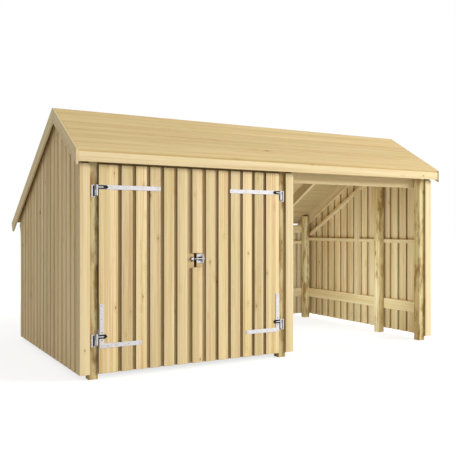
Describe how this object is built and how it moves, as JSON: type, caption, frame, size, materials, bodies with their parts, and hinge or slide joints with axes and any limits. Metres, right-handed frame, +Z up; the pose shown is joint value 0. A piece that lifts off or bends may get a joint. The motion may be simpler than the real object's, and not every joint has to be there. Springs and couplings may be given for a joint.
{
  "type": "open-front garden shed",
  "caption": "Timber garden shed with a saltbox roof: an open-fronted bay beside a closed room with double board doors, strap hinges and a sliding bolt",
  "frame": {"origin": "middle of the shed's bounding box, on the ground", "axes": "+X along the front to the right, +Y from the front into the depth, +Z up"},
  "size_m": [4.408, 2.715, 2.5],
  "materials": {
    "post_timber": "planed, pressure-treated pine, greenish yellow with knots",
    "wall_timber": "planed, pressure-treated pine boards",
    "trim_timber": "planed, pale pine trim",
    "roof_timber": "tongued and grooved pine roof boards",
    "frame_timber": "planed pine frame timber",
    "zinc_steel": "bright galvanised steel"
  },
  "bodies": {
    "shed": {"front_left_post": "post_timber", "front_middle_post": "post_timber", "front_right_post": "post_timber", "back_left_post": "post_timber", "back_middle_post": "post_timber", "back_right_post": "post_timber", "left_gable_post": "post_timber", "partition_post": "post_timber", "right_gable_post": "post_timber", "left_gable_boards": "wall_timber", "right_gable_boards": "wall_timber", "partition_boards": "wall_timber", "back_boards": "wall_timber", "left_gable_rails": "frame_timber", "right_gable_rails": "frame_timber", "partition_rails": "frame_timber", "back_rails": "frame_timber", "gable_studs": "frame_timber", "front_beam": "frame_timber", "back_beam": "frame_timber", "front_rafters": "frame_timber", "back_rafters": "frame_timber", "front_roof_boards": "roof_timber", "back_roof_boards": "roof_timber", "front_fascia": "trim_timber", "left_front_barge": "trim_timber", "left_back_barge": "trim_timber", "right_front_barge": "trim_timber", "right_back_barge": "trim_timber", "left_corner_board": "trim_timber", "middle_trim_board": "trim_timber", "right_corner_board": "trim_timber", "left_hooks": "zinc_steel", "right_hooks": "zinc_steel"},
    "left_door": {"left_door_boards": "wall_timber", "left_closing_board": "wall_timber", "left_door_ledges": "frame_timber", "left_straps": "zinc_steel", "bolt_keeper": "zinc_steel"},
    "right_door": {"right_door_boards": "wall_timber", "right_closing_board": "wall_timber", "right_door_ledges": "frame_timber", "meeting_boards": "wall_timber", "right_straps": "zinc_steel", "bolt_plate": "zinc_steel"},
    "bolt": {"bolt_rod": "zinc_steel"}
  },
  "joints": [
    {"name": "left_door_hinge", "type": "hinge", "parent": "shed", "child": "left_door", "pos_m": [-1.992, -1.2792, 1], "axis": [0, 0, -1], "range_deg": [0, 150]},
    {"name": "right_door_hinge", "type": "hinge", "parent": "shed", "child": "right_door", "pos_m": [-0.032, -1.2792, 1], "axis": [0, 0, 1], "range_deg": [0, 150]},
    {"name": "bolt_slide", "type": "slide", "parent": "right_door", "child": "bolt", "axis": [-1, 0, 0], "range_m": [0, 0.045]}
  ]
}
